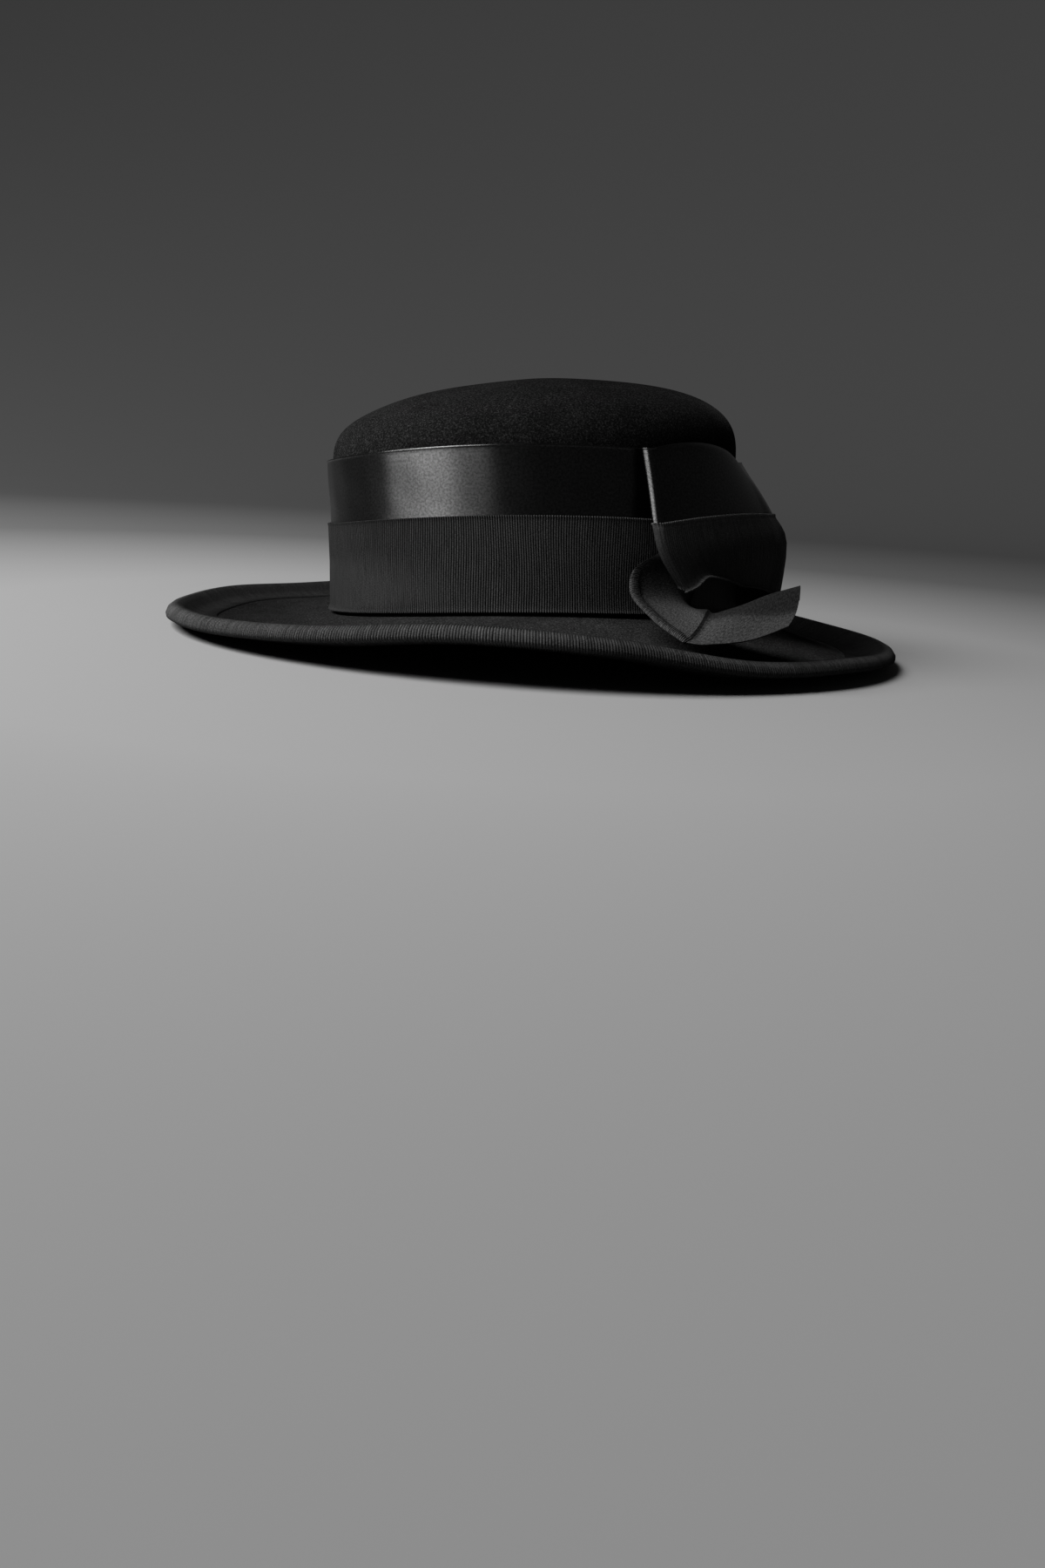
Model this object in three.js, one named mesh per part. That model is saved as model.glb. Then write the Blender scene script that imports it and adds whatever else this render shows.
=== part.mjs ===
// Black felt boater: an oval crown with a softly domed tip, a dipping brim with an upturned bound edge,
// a satin and grosgrain band, and a bow of the same two ribbons on the wearer's left.
// Millimetres, +Z up. The front of the hat faces -X and its bow is at -Y.
// Shapes are worked out with the crown upright and z = 0 at the lower edge of the band. The hat is then
// stood on its brim: the back of the brim dips, so the hat at rest leans a few degrees to the front.
import * as THREE from 'three';

// Driving dimensions: lengths in millimetres, angles in degrees
const steps = 60;                 // facets round the hat
const air = 0.3;                  // gap that neighbouring pieces keep
const feltThickness = 1.8;
const ribbonThickness = 1.0;
const restLean = 3.56;            // forward lean of the hat on its brim
const pressed = 0.6;              // how far the brim's edge flattens where it rests

// Head oval and crown, measured outside the felt at the band's lower edge
const headHalfLength = 99.9;
const headHalfWidth = 82.9;
const crownHeight = 106.6;
const wallRun = 70;               // height over which the wall's taper and lean are measured
const wallTaper = 1.2;
const wallLean = 1.0;             // how far the tip sits behind the base
const tipSquareness = 3.09;       // exponent of the shoulder seen from the side
const tipAngles = [0, 4, 10, 17, 25, 34, 44, 55, 67, 79];

// Heights and exponents that change round the hat: value = mean + back cos(a) + ends cos(2a),
// where the angle a is 0 at the back, so 'back' tips it front to back and 'ends' raises both ends
const tipFullness = { mean: 1.79, back: 0.59, ends: 0.14 };
const shoulderHeight = { mean: 65.8, back: 1.1, ends: 0 };
const bandLine = { mean: 0, back: -0.56, ends: -3.46 };
const curlRise = { mean: 5.8, back: -0.8, ends: 0 };

// Brim. The rim's height at even steps from the back of the hat to its front, on the wearer's right and
// left: level at the front, highest in the middle of the left side and dipping to the back
const rimHalfLength = 180.3;
const rimHalfWidth = 158;
const rimRows = [
  { fromBack: 0, right: -20.6, left: -20.6 },
  { fromBack: 20, right: -19.6, left: -19.4 },
  { fromBack: 40, right: -14.9, left: -15.5 },
  { fromBack: 60, right: -9.2, left: -11.4 },
  { fromBack: 80, right: -2.0, left: 0.0 },
  { fromBack: 100, right: 0.6, left: 5.6 },
  { fromBack: 120, right: -0.6, left: 3.0 },
  { fromBack: 140, right: -0.4, left: 1.9 },
  { fromBack: 160, right: 1.9, left: 2.2 },
  { fromBack: 180, right: 1.4, left: 1.4 },
];
const curlRun = 16;               // width of the upturned edge, seen from above
const curlAngle = 65;
const edgeInset = 1.4;            // from the rim in to the end of the felt's middle layer
const brimDrop = 2.9;             // from the band's lower edge down to the middle of the brim's felt
const brimFlatParts = [0, 0.35, 0.7, 1];
const brimCurlParts = [0.4, 0.72, 1];
const bindingParts = [0, 0.25, 0.5, 0.78, 1];

// Ribbons of the band
const grosgrainWidth = 41.2;
const satinShown = 29.8;
const bandLap = 8;                // how far the grosgrain covers the satin
const grosgrainOut = 2.0;         // outside of the grosgrain, measured from the felt at the base
const grosgrainShift = 0.5;
const satinStandOff = 1.4;        // the satin's upper edge stands off the felt at the front
const satinBend = 0.25;           // share of the shown satin that still lies flat there

// Bow loop: one row for each level of the ribbons, from the upper edge down. 'fold' is the angle of the
// loop's folded end. Stand-offs are from the band to the inner leaf, the fold's outer side, the cheek and
// the turn to the back. Heights are at the fold, the cheek and the turn.
const loopLevels = [
  { fold: -64, inner: 2.2, nose: 5.2, cheek: 7.5, turn: 1.8, foldZ: 72.8, cheekZ: 74.4, turnZ: 69.5 },
  { fold: -62, inner: 2.2, nose: 7.6, cheek: 11.5, turn: 8.2, foldZ: 57, cheekZ: 58.5, turnZ: 56 },
  { fold: -60.5, inner: 2.4, nose: 10.5, cheek: 15.5, turn: 15.6, foldZ: 41.3, cheekZ: 43.4, turnZ: 42.8 },
  { fold: -59, inner: 5.5, nose: 15.5, cheek: 22.0, turn: 22.0, foldZ: 28, cheekZ: 29.5, turnZ: 29 },
  { fold: -56, inner: 12.5, nose: 20.0, cheek: 22.0, turn: 18.5, foldZ: 12.8, cheekZ: 16.6, turnZ: 12.2 },
];
const loopSeamLevel = 2;          // row of the table where the grosgrain starts
const loopLap = 0.2;              // share of the next row that the satin runs on, under the grosgrain
const loopInnerLength = 9;        // degrees that the inner leaf runs back from the fold
const loopNoseSteps = [-90, -45, 0, 45, 90];
const loopNoseDegrees = 3.0;
const loopCheekAngle = -46;
const loopTurnAngle = -14;
const loopSeatAngle = 9;
const loopSeatStand = 1.2;
const loopCheekParts = [0.5, 1];
const loopTurnParts = [0.33, 0.67, 1];
const loopSeatParts = [0.4, 0.75, 1];

// Bow tail: one row for each station along the ribbon, from its root behind the loop, down to the crease
// near the brim's edge and back up to its cut end. Columns give the angle round the hat, the stand-off
// from the band and the height of the ribbon's outer edge, its middle and its inner edge.
const tailStations = [
  { outer: [-57, 0.9, 28.4], middle: [-53, 0.9, 27.2], inner: [-48, 0.9, 26.0] },
  { outer: [-66.5, 9.0, 22.6], middle: [-58, 3.2, 19.0], inner: [-49, 0.9, 16.0] },
  { outer: [-70, 20.0, 13.2], middle: [-60, 10.0, 10.0], inner: [-51, 4.5, 8.0] },
  { outer: [-69.5, 37.0, 5.4], middle: [-61, 25.0, 5.0], inner: [-53, 16.0, 5.0] },
  { outer: [-68, 63.0, -2.6], middle: [-62, 47.0, 1.0], inner: [-55, 31.0, 5.6] },
  { outer: [-63, 64.8, -3.6], middle: [-57, 51.0, 2.6], inner: [-50, 38.0, 7.6] },
  { outer: [-57, 66.5, -2.6], middle: [-51, 55.0, 3.6], inner: [-44, 43.0, 9.6] },
  { outer: [-50, 67.0, 1.6], middle: [-44, 58.0, 7.0], inner: [-37, 48.5, 12.6] },
];
const tailColumns = 5;
const tailRows = 15;

const radians = THREE.MathUtils.degToRad;

const around = ({ mean, back, ends }, angle) => mean + back * Math.cos(angle) + ends * Math.cos(2 * angle);

const leftRows = rimRows.slice(1, -1).toReversed();
const rimHeights = [...rimRows.map(({ right }) => right), ...leftRows.map(({ left }) => left)];

/** The rim's height at an angle, on a smooth curve through the listed heights. */
function rimHeight(angle) {
  const count = rimHeights.length;
  const place = ((angle / (2 * Math.PI)) * count + count) % count;
  const [a, b, c, d] = [-1, 0, 1, 2].map((step) => rimHeights[(Math.floor(place) + step + count) % count]);
  const part = place % 1;
  return b + (part / 2) * (c - a + part * (2 * a - 5 * b + 4 * c - d + part * (3 * (b - c) + d - a)));
}

const mix = (from, to, part) => from + (to - from) * part;
const point = (x, y, z) => new THREE.Vector3(x, y, z);

// Placing: lean the upright hat forward, then lift it until its brim rests on z = 0
const leanSin = Math.sin(radians(restLean));
const leanCos = Math.cos(radians(restLean));
const leaned = ({ x, y, z }) => point(x * leanCos - z * leanSin, y, z * leanCos + x * leanSin);

// Solids from rows of points

/** A mesh from points and triangles, with its faces turned outwards. */
function solid(points, triangles) {
  let volume = 0;
  for (const [a, b, c] of triangles) {
    volume += points[a].dot(points[b].clone().cross(points[c]));
  }
  const faces = volume > 0 ? triangles : triangles.map(([a, b, c]) => [a, c, b]);
  const geometry = new THREE.BufferGeometry().setFromPoints(points);
  geometry.setIndex(faces.flat());
  geometry.computeVertexNormals();
  return geometry;
}

/** Triangles between two rows of point numbers that both close on themselves. */
function strip(lower, upper) {
  return lower.flatMap((a, i) => {
    const next = (i + 1) % lower.length;
    return [[a, lower[next], upper[next]], [a, upper[next], upper[i]]];
  });
}

/** Numbers of each row's points in one running list. */
function numbered(rows) {
  let first = 0;
  return rows.map((row) => {
    const numbers = row.map((_, i) => first + i);
    first += row.length;
    return numbers;
  });
}

const hatAngles = Array.from({ length: steps }, (_, i) => (i / steps) * 2 * Math.PI);

/** A ring round the hat with a closed section: one function of the angle for each corner of the section. */
function ring(corners) {
  const rows = corners.map((corner) => hatAngles.map(corner));
  const numbers = numbered(rows);
  const triangles = numbers.flatMap((row, k) => strip(row, numbers[(k + 1) % numbers.length]));
  return solid(rows.flat(), triangles);
}

/** A cap open below: rows from the lower edge up to a pole, outside and inside. */
function cap(outerRows, outerPole, innerRows, innerPole) {
  const rows = [...outerRows.toReversed(), ...innerRows].map((row) => hatAngles.map(row));
  const numbers = numbered(rows);
  const poles = [numbers.at(-1).at(-1) + 1, numbers.at(-1).at(-1) + 2];
  const walls = numbers.slice(1).flatMap((row, k) => strip(numbers[k], row));
  const fan = (row, pole, turn) => row.map((a, i) => {
    const b = row[(i + 1) % row.length];
    return turn ? [a, b, pole] : [b, a, pole];
  });
  const ends = [...fan(numbers[0], poles[0], false), ...fan(numbers.at(-1), poles[1], true)];
  return solid([...rows.flat(), outerPole, innerPole], [...walls, ...ends]);
}

/** A sheet of even thickness on a grid of points, one row for each station along it. */
function sheet(grid, thickness, offset = 0) {
  const normals = grid.map((row, r) => row.map((_, c) => {
    const along = grid[Math.min(r + 1, grid.length - 1)][c].clone().sub(grid[Math.max(r - 1, 0)][c]);
    const across = row[Math.min(c + 1, row.length - 1)].clone().sub(row[Math.max(c - 1, 0)]);
    return along.cross(across).normalize();
  }));
  const moved = (p, normal, depth) => p.clone().addScaledVector(normal, depth);
  const side = (depth) => grid.map((row, r) => row.map((p, c) => moved(p, normals[r][c], depth)));
  const front = side(offset + thickness / 2);
  const rear = side(offset - thickness / 2);
  const rows = front.map((row, r) => [...row, ...rear[r].toReversed()]);
  const numbers = numbered(rows);
  const walls = numbers.slice(1).flatMap((row, k) => strip(numbers[k], row));
  const end = (row, turn) => row.slice(0, row.length / 2 - 1).flatMap((a, i) => {
    const [b, c, d] = [row[i + 1], row.at(-2 - i), row.at(-1 - i)];
    return turn ? [[a, b, c], [a, c, d]] : [[a, c, b], [a, d, c]];
  });
  return solid(rows.flat(), [...walls, ...end(numbers[0], false), ...end(numbers.at(-1), true)]);
}

// Crown

/** A point of the wall's oval at a height, moved out by some distance and sized by a share of the oval. */
function wallPoint(angle, z, out, share = 1) {
  const taper = (wallTaper * z) / wallRun;
  const x = (headHalfLength - taper + out) * share * Math.cos(angle) + (wallLean * z) / wallRun;
  return point(x, (headHalfWidth - taper + out) * share * Math.sin(angle), z);
}

/** A row of the tip: a rounded square seen from the side, from the wall (0 degrees) to the pole (90). */
function tipRow(degrees, inset) {
  const rise = Math.sin(radians(degrees)) ** (2 / tipSquareness);
  return (angle) => {
    const start = around(shoulderHeight, angle);
    const share = Math.cos(radians(degrees)) ** (2 / around(tipFullness, angle));
    return wallPoint(angle, mix(start, crownHeight - inset, rise), -inset, share);
  };
}

const brimTopAtCrown = (angle) => around(bandLine, angle) - brimDrop + feltThickness / 2;
const crownFoot = (out) => (angle) => wallPoint(angle, brimTopAtCrown(angle) + air, out);

function crownGeometry(place) {
  const rows = (inset) => [crownFoot(-inset), ...tipAngles.map((degrees) => tipRow(degrees, inset))];
  const placed = (inset) => rows(inset).map((row) => (angle) => place(row(angle)));
  const pole = (inset) => place(wallPoint(0, crownHeight - inset, 0, 0));
  return cap(placed(0), pole(0), placed(feltThickness), pole(feltThickness));
}

// Brim and its binding

const feltHalfLength = rimHalfLength - edgeInset;
const feltHalfWidth = rimHalfWidth - edgeInset;

/** The middle of the brim's felt: part 0 is the head opening, 1 the curl's start, 2 the felt's edge. */
function brimMiddle(angle, part) {
  const hole = wallPoint(angle, 0, -feltThickness);
  const rim = point(feltHalfLength * Math.cos(angle), feltHalfWidth * Math.sin(angle), 0);
  const run = curlRun / hole.distanceTo(rim);
  const rise = around(curlRise, angle);
  const trough = rimHeight(angle) - edgeInset - rise;
  const flat = Math.min(part, 1);
  const eased = flat * flat * (3 - 2 * flat);
  const base = mix(around(bandLine, angle) - brimDrop, trough, (flat + eased) / 2);
  const turn = radians(curlAngle) * Math.max(part - 1, 0);
  const reach = (1 - run) * flat + (run * Math.sin(turn)) / Math.sin(radians(curlAngle));
  const lift = (rise * (1 - Math.cos(turn))) / (1 - Math.cos(radians(curlAngle)));
  const plan = hole.lerp(rim, reach);
  return point(plan.x, plan.y, base + lift);
}

/** A point at some distance above the middle of the felt, and some distance past it along the brim. */
function brimPoint(angle, part, above, past = 0) {
  const small = 0.01;
  const before = brimMiddle(angle, Math.max(part - small, 0));
  const after = brimMiddle(angle, Math.min(part + small, 2));
  const along = after.sub(before).normalize();
  const flat = Math.hypot(along.x, along.y);
  const up = point((-along.z * along.x) / flat, (-along.z * along.y) / flat, flat);
  return brimMiddle(angle, part).addScaledVector(up, above).addScaledVector(along, past);
}

function brimCorners() {
  const parts = [...brimFlatParts, ...brimCurlParts.map((part) => 1 + part)];
  const half = feltThickness / 2;
  const top = parts.map((part) => (angle) => brimPoint(angle, part, half));
  const under = parts.map((part) => (angle) => brimPoint(angle, part, -half));
  return [...top, ...under.toReversed()];
}

function bindingCorners() {
  const parts = bindingParts.map((part) => 1 + part);
  const inside = feltThickness / 2 + air;
  const outside = inside + ribbonThickness;
  const layer = (above) => parts.map((part) => (angle) => brimPoint(angle, part, above));
  const tip = (angle) => brimPoint(angle, 2, 0, outside);
  const innerTip = (above) => (angle) => brimPoint(angle, 2, above, air);
  return [
    ...layer(outside), tip, ...layer(-outside).toReversed(),
    ...layer(-inside), innerTip(-inside), innerTip(inside), ...layer(inside).toReversed(),
  ];
}

// Ribbons of the band

function satinCorners() {
  const lower = grosgrainWidth - bandLap;
  const upper = grosgrainWidth + satinShown;
  const corner = (height, depth) => (angle) => {
    const front = ((1 - Math.cos(angle)) / 2) ** 2;
    const stand = height === upper ? satinStandOff * front : 0;
    return wallPoint(angle, around(bandLine, angle) + height, air + depth + stand);
  };
  const levels = [lower, grosgrainWidth + satinShown * satinBend, upper];
  const outside = levels.map((height) => corner(height, ribbonThickness));
  return [...outside, ...levels.toReversed().map((height) => corner(height, 0))];
}

const bandHalfLength = headHalfLength + grosgrainOut;
const bandHalfWidth = headHalfWidth + grosgrainOut;

/** A point at a distance outside the band, on the line that stands square to it. */
function bandPoint(degrees, stand, z) {
  const angle = radians(degrees);
  const [along, across] = [Math.cos(angle), Math.sin(angle)];
  const square = new THREE.Vector2(along / bandHalfLength, across / bandHalfWidth).normalize();
  const x = bandHalfLength * along + grosgrainShift + square.x * stand;
  return point(x, bandHalfWidth * across + square.y * stand, z);
}

function grosgrainCorners() {
  const corner = (height, depth) => (angle) => {
    const x = (bandHalfLength - depth) * Math.cos(angle) + grosgrainShift;
    return point(x, (bandHalfWidth - depth) * Math.sin(angle), around(bandLine, angle) + height);
  };
  const outside = [corner(0, 0), corner(grosgrainWidth, 0)];
  return [...outside, corner(grosgrainWidth, ribbonThickness), corner(0, ribbonThickness)];
}

// Bow

/** One level of the loop: inner leaf, folded nose, cheek, turn to the back and seat on the band. */
function loopLevel(level) {
  const noseMiddle = (level.nose + level.inner) / 2;
  const noseHalf = (level.nose - level.inner) / 2;
  const noseEnd = level.fold + loopNoseDegrees;
  const leaf = [bandPoint(noseEnd + loopInnerLength, level.inner, level.foldZ)];
  const nose = loopNoseSteps.map((step) => {
    const degrees = noseEnd - loopNoseDegrees * Math.cos(radians(step));
    return bandPoint(degrees, noseMiddle + noseHalf * Math.sin(radians(step)), level.foldZ);
  });
  const cheek = loopCheekParts.map((part) => bandPoint(
    mix(noseEnd, loopCheekAngle, part),
    mix(level.nose, level.cheek, Math.sin((part * Math.PI) / 2)),
    mix(level.foldZ, level.cheekZ, part),
  ));
  const turn = loopTurnParts.map((part) => bandPoint(
    mix(loopCheekAngle, loopTurnAngle, part),
    mix(level.cheek, level.turn, part),
    mix(level.cheekZ, level.turnZ, part),
  ));
  const seat = loopSeatParts.map((part) => bandPoint(
    mix(loopTurnAngle, loopSeatAngle, Math.sin((part * Math.PI) / 2)),
    mix(loopSeatStand, level.turn, Math.cos((part * Math.PI) / 2)),
    level.turnZ,
  ));
  return [...leaf, ...nose, ...cheek, ...turn, ...seat];
}

/** A level between two rows of the table. */
function levelBetween(upper, lower, part) {
  return Object.fromEntries(Object.keys(upper).map((key) => [key, mix(upper[key], lower[key], part)]));
}

/** Turn levels into stations: one row of points across the ribbon for each point along it. */
const stationsOf = (levels, place) => levels[0].map((_, i) => levels.map((level) => place(level[i])));

function tailGrid(place) {
  const across = tailStations.map(({ outer, middle, inner }) => {
    const curve = new THREE.CatmullRomCurve3([outer, middle, inner].map((row) => bandPoint(...row)));
    return curve.getPoints(tailColumns - 1);
  });
  const along = across[0].map((_, c) => new THREE.CatmullRomCurve3(across.map((row) => row[c])));
  const rows = along.map((curve) => curve.getPoints(tailRows - 1));
  return stationsOf(rows, place);
}

// Assembly

const bindingRest = bindingCorners().flatMap((corner) => hatAngles.map((angle) => leaned(corner(angle))));
const bindingBox = new THREE.Box3().setFromPoints(bindingRest);
const rest = point(-(bindingBox.min.x + bindingBox.max.x) / 2, 0, -bindingBox.min.z - pressed);
const stand = (upright) => leaned(upright).add(rest);
const standFlattened = (upright) => {
  const placed = stand(upright);
  return placed.setZ(Math.max(placed.z, 0));
};
const standing = (corners, place = stand) => corners.map((corner) => (angle) => place(corner(angle)));

const felt = new THREE.MeshStandardMaterial({ color: 0x0b0b0c, roughness: 0.95 });
const satin = new THREE.MeshStandardMaterial({ color: 0x0a0a0b, roughness: 0.35 });
const grosgrain = new THREE.MeshStandardMaterial({ color: 0x0c0c0d, roughness: 0.8 });

const hat = new THREE.Group();

function piece(name, geometry, material) {
  const mesh = new THREE.Mesh(geometry, material);
  mesh.name = name;
  hat.add(mesh);
}

const lapLevel = levelBetween(loopLevels[loopSeamLevel], loopLevels[loopSeamLevel + 1], loopLap);
const satinLevels = [...loopLevels.slice(0, loopSeamLevel + 1), lapLevel];
const grosgrainLevels = loopLevels.slice(loopSeamLevel);
const satinLoop = stationsOf(satinLevels.map(loopLevel), stand);
const grosgrainLoop = stationsOf(grosgrainLevels.map(loopLevel), stand);

piece('crown', crownGeometry(stand), felt);
piece('brim', ring(standing(brimCorners())), felt);
piece('brim_binding', ring(standing(bindingCorners(), standFlattened)), grosgrain);
piece('satin_band', ring(standing(satinCorners())), satin);
piece('grosgrain_band', ring(standing(grosgrainCorners())), grosgrain);
piece('bow_loop_satin', sheet(satinLoop, ribbonThickness), satin);
piece('bow_loop_grosgrain', sheet(grosgrainLoop, ribbonThickness, -ribbonThickness - 2 * air), grosgrain);
piece('bow_tail', sheet(tailGrid(stand), ribbonThickness), grosgrain);

export default hat;
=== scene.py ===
"""Looks of a black felt boater: felt crown and brim, a ribbed binding, satin and grosgrain bands and a bow.

Shapes are worked out in millimetres for the upright hat, as in the part's source: z = 0 at the lower edge of
the band, the front at -X, the bow at -Y, and angles counted from the back of the hat by way of +Y. stood()
leans the hat onto the surface that it rests on and gives the frame's metres.
"""

import bmesh
import bpy
import numpy as np
from mathutils import Matrix


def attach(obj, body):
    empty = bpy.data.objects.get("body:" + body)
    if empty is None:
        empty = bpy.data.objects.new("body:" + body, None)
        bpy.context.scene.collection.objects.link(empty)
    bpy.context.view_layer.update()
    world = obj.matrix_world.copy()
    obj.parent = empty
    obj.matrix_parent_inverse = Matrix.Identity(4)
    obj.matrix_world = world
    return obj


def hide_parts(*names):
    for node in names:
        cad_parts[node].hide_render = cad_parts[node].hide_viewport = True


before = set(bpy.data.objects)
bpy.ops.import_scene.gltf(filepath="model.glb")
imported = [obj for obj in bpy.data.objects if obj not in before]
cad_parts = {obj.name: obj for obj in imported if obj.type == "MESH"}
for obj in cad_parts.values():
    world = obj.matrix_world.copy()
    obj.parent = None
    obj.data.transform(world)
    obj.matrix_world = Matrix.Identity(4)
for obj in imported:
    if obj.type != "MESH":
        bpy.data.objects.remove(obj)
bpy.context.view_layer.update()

# Rest on the surface
METRES = 0.001
REST_LEAN = np.radians(3.56)
REST_SHIFT = np.array([-0.675, 0.0, 18.468])

# Cloth thicknesses, and the gap between layers
FELT = 1.8
RIBBON = 0.5
SOLID_RIBBON = 1.0
AIR = 0.3

# Crown: lines that change round the hat are (mean, back, ends), as around() reads them
HEAD_HALF_LENGTH = 99.9
HEAD_HALF_WIDTH = 82.9
CROWN_HEIGHT = 106.6
WALL_RUN = 70.0
WALL_TAPER = 1.2
WALL_LEAN = 1.0
TIP_SQUARENESS = 3.09
TIP_FULLNESS = (1.79, 0.59, 0.14)
SHOULDER_HEIGHT = (65.8, 1.1, 0.0)
BAND_LINE = (0.0, -0.56, -3.46)

# Brim: heights of the rim at even steps from the back of the hat to its front, on its right and on its left,
# and slopes of its curl in degrees at lengths along it
RIM_HALF_LENGTH = 180.3
RIM_HALF_WIDTH = 158.0
RIM_RIGHT = (-20.6, -19.6, -14.9, -9.2, -2.0, 0.6, -0.6, -0.4, 1.9, 1.4)
RIM_LEFT = (-20.6, -19.4, -15.5, -11.4, 0.0, 5.6, 3.0, 1.9, 2.2, 1.4)
CURL_RISE = (5.8, -0.8, 0.0)
CURL_RUN = 16.0
CURL_TURNS = ((0.0, 0.0), (11.8, 46.0), (18.6, -75.0))
EDGE_INSET = 1.4
BRIM_DROP = 2.9
BINDING_OUT = FELT / 2 + AIR + SOLID_RIBBON

# Ribbons: pitch and height of the grosgrain's ribs, and the beads along its edges
RIB_PITCH = 1.13
BINDING_PITCH = 1.18
RIB_HEIGHT = 0.4
BINDING_RIB = 0.5
RIB_ROUNDNESS = 0.8
BEAD_SPAN = 0.7
BEAD_SWELL = 0.6
BEAD_REACH = 0.3
GROSGRAIN_WIDTH = 41.2
GROSGRAIN_OUT = 2.0
GROSGRAIN_SHIFT = 0.5
FLARE = (0.9, 0.0, 0.5)
FLARE_RUN = 4.0
SATIN_SHOWN = 29.8
BAND_LAP = 8.0
SATIN_STAND_OFF = 1.4

# Bow loop: a row for each level from the upper edge down, with the angles of the fold and the turn, the
# stand-offs of the inner leaf, the fold's outer side, the cheek and the turn, and the heights at the fold,
# cheek, turn and seat
LOOP_LEVELS = np.array([
    (-63.7, -21.0, 2.0, 5.2, 4.5, 0.2, 72.8, 75.4, 67.5, 67.5),
    (-62.6, -15.0, 4.6, 7.6, 6.5, 8.6, 57.0, 58.5, 56.0, 53.0),
    (-61.9, -14.0, 7.8, 10.5, 9.0, 17.0, 41.3, 43.4, 42.8, 36.0),
    (-60.9, -14.0, 11.8, 13.5, 12.0, 23.6, 28.0, 29.5, 29.0, 17.0),
    (-56.2, -14.0, 14.0, 15.5, 12.0, 20.5, 12.0, 15.0, -3.0, -5.5),
])
LOOP_SEAM = 2.0
LOOP_LAP = 0.2
LOOP_LAYER = 0.35
LOOP_LEAF = 10.0
LOOP_LEAF_STAND = 1.6
LOOP_NOSE = 1.2
LOOP_TOP_BEND = 3.2
LOOP_TOP_RUN = 0.09
LOOP_CHEEK_ANGLE = -46.0
LOOP_SEAT_ANGLE = 9.0
LOOP_SEAT_STANDS = (0.0, 1.2)
LOOP_LIP_CURL = 1.8
LOOP_LIP_RUN = 0.09
LOOP_RELIEF = 0.3

# Bow tail: a row for each station along it, with the angle, stand-off and height of its outer edge, its
# middle, its ridge and the edge that is tucked down behind the ridge
TAIL_STATIONS = np.array([
    ((-57.0, 0.9, 28.4), (-53.0, 0.9, 27.2), (-48.0, 0.9, 26.0), (-45.0, 0.9, 25.0)),
    ((-66.5, 9.0, 22.6), (-58.0, 3.2, 19.0), (-49.0, 0.9, 16.0), (-44.0, 0.9, 13.0)),
    ((-70.0, 20.0, 13.2), (-60.0, 10.0, 10.0), (-51.0, 4.5, 8.0), (-46.0, 0.9, 4.0)),
    ((-69.5, 37.0, 5.4), (-61.0, 25.0, 5.0), (-53.0, 16.0, 5.0), (-48.0, 9.0, 1.0)),
    ((-68.0, 63.0, -2.6), (-62.0, 47.0, 1.0), (-55.0, 31.0, 5.6), (-50.0, 23.0, 0.5)),
    ((-63.0, 64.8, -3.6), (-57.0, 51.0, 2.6), (-50.0, 38.0, 7.6), (-46.0, 31.0, 1.0)),
    ((-57.0, 66.5, -2.6), (-51.0, 55.0, 3.6), (-44.0, 43.0, 11.8), (-40.0, 38.0, 4.0)),
    ((-50.0, 67.0, 1.6), (-44.0, 58.0, 7.0), (-37.5, 48.0, 14.8), (-34.5, 44.0, 8.0)),
])
TAIL_COLUMNS = np.array([0.0, 20.0, 40.0, 49.0])
TAIL_PITCH = 0.85
TAIL_CREASE = 4.0
CREASE_RUN = 0.5
CREASE_VALLEY = 4.02
CREASE_DEPTH = 4.0
CREASE_STEP = 0.15
CREASE_WIDTH = 0.45
HEM_START = (0.8, 1.8)
HEM_END = 4.1
HEM_FADE = 0.25
HEM_WIDTH = 7.0
HEM_RISE = 1.3
GROOVE_WIDTH = 0.7
GROOVE_DEPTH = 0.7
FAINT_START = (4.3, 4.6)
FAINT_SHARE = 0.3
PANEL_RELIEF = 0.12

# Least length that unit() divides by, and the steps in which running lengths are read off
TINY = 1e-12
OVAL_STEPS = 8001
PATH_STEPS = 1201


def mix(low, high, part):
    """Straight mix of two values."""
    return low + (high - low) * part


def smooth(value, low, high):
    """Ease from 0 at low to 1 at high."""
    part = np.clip((value - low) / (high - low), 0, 1)
    return part * part * (3 - 2 * part)


def unit(vectors):
    """Vectors of length 1."""
    return vectors / np.maximum(np.linalg.norm(vectors, axis=-1, keepdims=True), TINY)


def points(x, y, z):
    """One array of points from three arrays of coordinates."""
    return np.stack(np.broadcast_arrays(x, y, z), -1)


def around(line, angle):
    """A mean, plus a share that tips it front to back, plus a share that raises both ends."""
    mean, back, ends = line
    return mean + back * np.cos(angle) + ends * np.cos(2 * angle)


def through(rows, place):
    """Catmull-Rom curve through rows of numbers at the places 0, 1, 2 and so on."""
    first = np.clip(np.floor(place).astype(int), 0, len(rows) - 2)
    part = (place - first).reshape(place.shape + (1,) * (rows.ndim - 1))
    a, b, c, d = (rows[np.clip(first + step, 0, len(rows) - 1)] for step in (-1, 0, 1, 2))
    return b + part / 2 * (c - a + part * (2 * a - 5 * b + 4 * c - d + part * (3 * (b - c) + d - a)))


def stood(upright):
    """Upright millimetres to the frame's metres: lean about Y, lift, flatten at the surface, scale."""
    x, y, z = np.moveaxis(upright, -1, 0)
    cos, sin = np.cos(REST_LEAN), np.sin(REST_LEAN)
    placed = points(x * cos - z * sin, y, z * cos + x * sin) + REST_SHIFT
    placed[..., 2] = np.maximum(placed[..., 2], 0)
    return placed * METRES


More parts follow.
